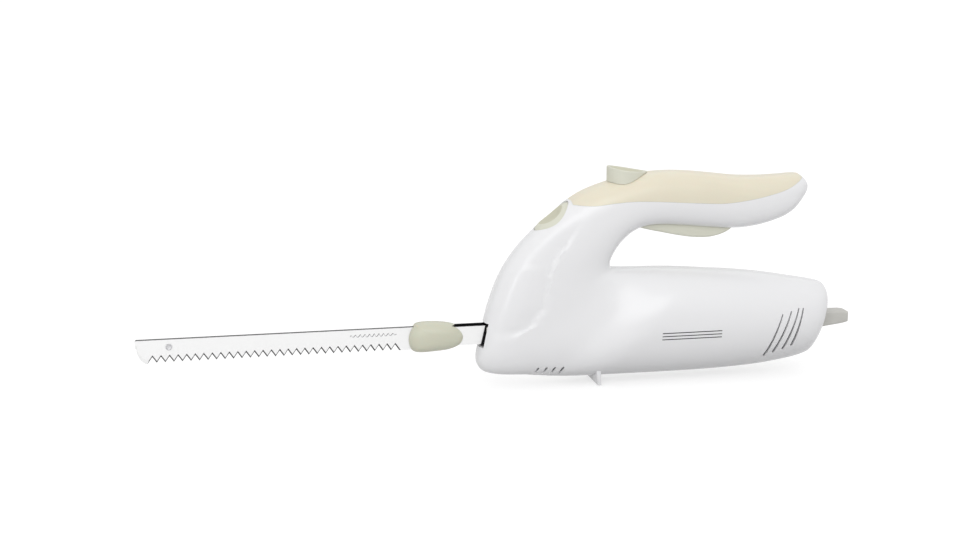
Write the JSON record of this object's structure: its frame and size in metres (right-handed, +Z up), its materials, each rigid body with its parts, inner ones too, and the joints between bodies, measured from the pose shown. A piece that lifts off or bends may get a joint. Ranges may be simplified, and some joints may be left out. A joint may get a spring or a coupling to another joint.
{
  "type": "electric carving knife",
  "caption": "Electric carving knife with an open handle over a barrel motor and twin serrated blades that slide side by side.",
  "frame": {"origin": "midway along the knife on its centre plane, level with the tip of the foot", "axes": "+X towards the cord end, so the blades point to -X; +Z up; +Y to the right-hand casing half"},
  "size_m": [0.4882, 0.0538, 0.1464],
  "materials": {
    "casing_white": "glossy moulded white",
    "cream_plastic": "satin moulded cream",
    "control_cream": "satin moulded grey cream",
    "blade_steel": "ground stainless",
    "zinc_steel": "zinc plated",
    "lamination_iron": "stacked laminations",
    "copper": "enamelled copper",
    "bronze": "sintered bronze",
    "nylon": "natural nylon",
    "black_plastic": "moulded black",
    "carbon": "pressed carbon",
    "grey_pvc": "matt grey"
  },
  "bodies": {
    "housing": {"arm_guide": "black_plastic", "casing_screw_1": "zinc_steel", "casing_screw_2": "zinc_steel", "casing_screw_3": "zinc_steel", "casing_screw_4": "zinc_steel", "casing_screw_5": "zinc_steel", "casing_screw_6": "zinc_steel", "clamp_base": "black_plastic", "clamp_screw_1": "zinc_steel", "clamp_screw_2": "zinc_steel", "cord_clamp": "black_plastic", "front_bearing": "bronze", "front_bearing_bracket": "black_plastic", "gear_axle": "zinc_steel", "grip_cover": "cream_plastic", "left_carbon_brush": "carbon", "left_casing": "casing_white", "left_front_field_coil": "copper", "left_gear_cheek": "black_plastic", "left_rear_field_coil": "copper", "lever_pin": "zinc_steel", "motor_stator": "lamination_iron", "nose_bearing": "bronze", "rear_bearing": "bronze", "rear_bearing_bracket": "black_plastic", "right_carbon_brush": "carbon", "right_casing": "casing_white", "right_front_field_coil": "copper", "right_gear_cheek": "black_plastic", "right_rear_field_coil": "copper", "strain_relief": "grey_pvc", "suppressor_capacitor": "bronze", "switch_body": "black_plastic", "trigger_pin": "zinc_steel", "trigger_spring": "zinc_steel"},
    "rotor": {"motor_shaft": "zinc_steel", "worm": "zinc_steel", "armature_core": "lamination_iron", "front_winding_head": "copper", "rear_winding_head": "copper", "commutator": "copper", "cooling_fan": "nylon"},
    "gear": {"worm_gear": "nylon", "left_eccentric_pin": "zinc_steel", "right_eccentric_pin": "zinc_steel"},
    "left_arm": {"left_drive_arm": "nylon", "left_latch_spring": "zinc_steel"},
    "right_arm": {"right_drive_arm": "nylon", "right_latch_spring": "zinc_steel"},
    "left_blade_unit": {"left_blade": "blade_steel", "left_collar": "control_cream", "blade_rivet": "zinc_steel"},
    "right_blade_unit": {"right_blade": "blade_steel", "right_collar": "control_cream"},
    "trigger_lever": {"trigger": "control_cream"},
    "plunger": {"switch_plunger": "control_cream"},
    "lock": {"lock_button": "control_cream"},
    "release": {"release_button": "control_cream"},
    "rocker": {"release_lever": "nylon"}
  },
  "joints": [
    {"name": "rotor_spin", "type": "hinge", "parent": "housing", "child": "rotor", "pos_m": [0.1, 0, 0.042], "axis": [1, 0, 0], "continuous": true},
    {"name": "gear_spin", "type": "hinge", "parent": "housing", "child": "gear", "pos_m": [0.052, 0, 0.0246], "axis": [0, 1, 0], "continuous": true},
    {"name": "left_arm_slide", "type": "slide", "parent": "housing", "child": "left_arm", "axis": [1, 0, 0], "range_m": [-0.004, 0.004]},
    {"name": "right_arm_slide", "type": "slide", "parent": "housing", "child": "right_arm", "axis": [1, 0, 0], "range_m": [-0.004, 0.004]},
    {"name": "left_blade_release", "type": "slide", "parent": "left_arm", "child": "left_blade_unit", "axis": [-1, 0, 0], "range_m": [0, 0.04]},
    {"name": "right_blade_release", "type": "slide", "parent": "right_arm", "child": "right_blade_unit", "axis": [-1, 0, 0], "range_m": [0, 0.04]},
    {"name": "trigger_press", "type": "hinge", "parent": "housing", "child": "trigger_lever", "pos_m": [0.093, 0, 0.114], "axis": [0, -1, 0], "range_deg": [0, 5.5], "stiffness_Nm_per_rad": 0.5, "springref_deg": -5.73, "deforming": ["trigger_spring"]},
    {"name": "plunger_slide", "type": "slide", "parent": "housing", "child": "plunger", "axis": [0, 0, 1], "range_m": [0, 0.004]},
    {"name": "lock_slide", "type": "slide", "parent": "housing", "child": "lock", "axis": [-0.9877, 0, -0.1564], "range_m": [0, 0.004], "stiffness_N_per_m": 200, "springref_m": -0.002},
    {"name": "release_press", "type": "slide", "parent": "housing", "child": "release", "axis": [0.6157, 0, -0.788], "range_m": [0, 0.0035], "stiffness_N_per_m": 400, "springref_m": -0.002},
    {"name": "rocker_turn", "type": "hinge", "parent": "housing", "child": "rocker", "pos_m": [0.024, 0, 0.08], "axis": [0, 1, 0], "range_deg": [0, 8.6]}
  ],
  "couplings": [
    {"joint": "gear_spin", "follows": "rotor_spin", "ratio": -0.038462},
    {"joint": "right_arm_slide", "follows": "left_arm_slide", "ratio": -1},
    {"joint": "right_blade_release", "follows": "left_blade_release", "ratio": 1},
    {"joint": "plunger_slide", "follows": "trigger_press", "m_per_rad": 0.041},
    {"joint": "rocker_turn", "follows": "release_press", "rad_per_m": 42}
  ]
}
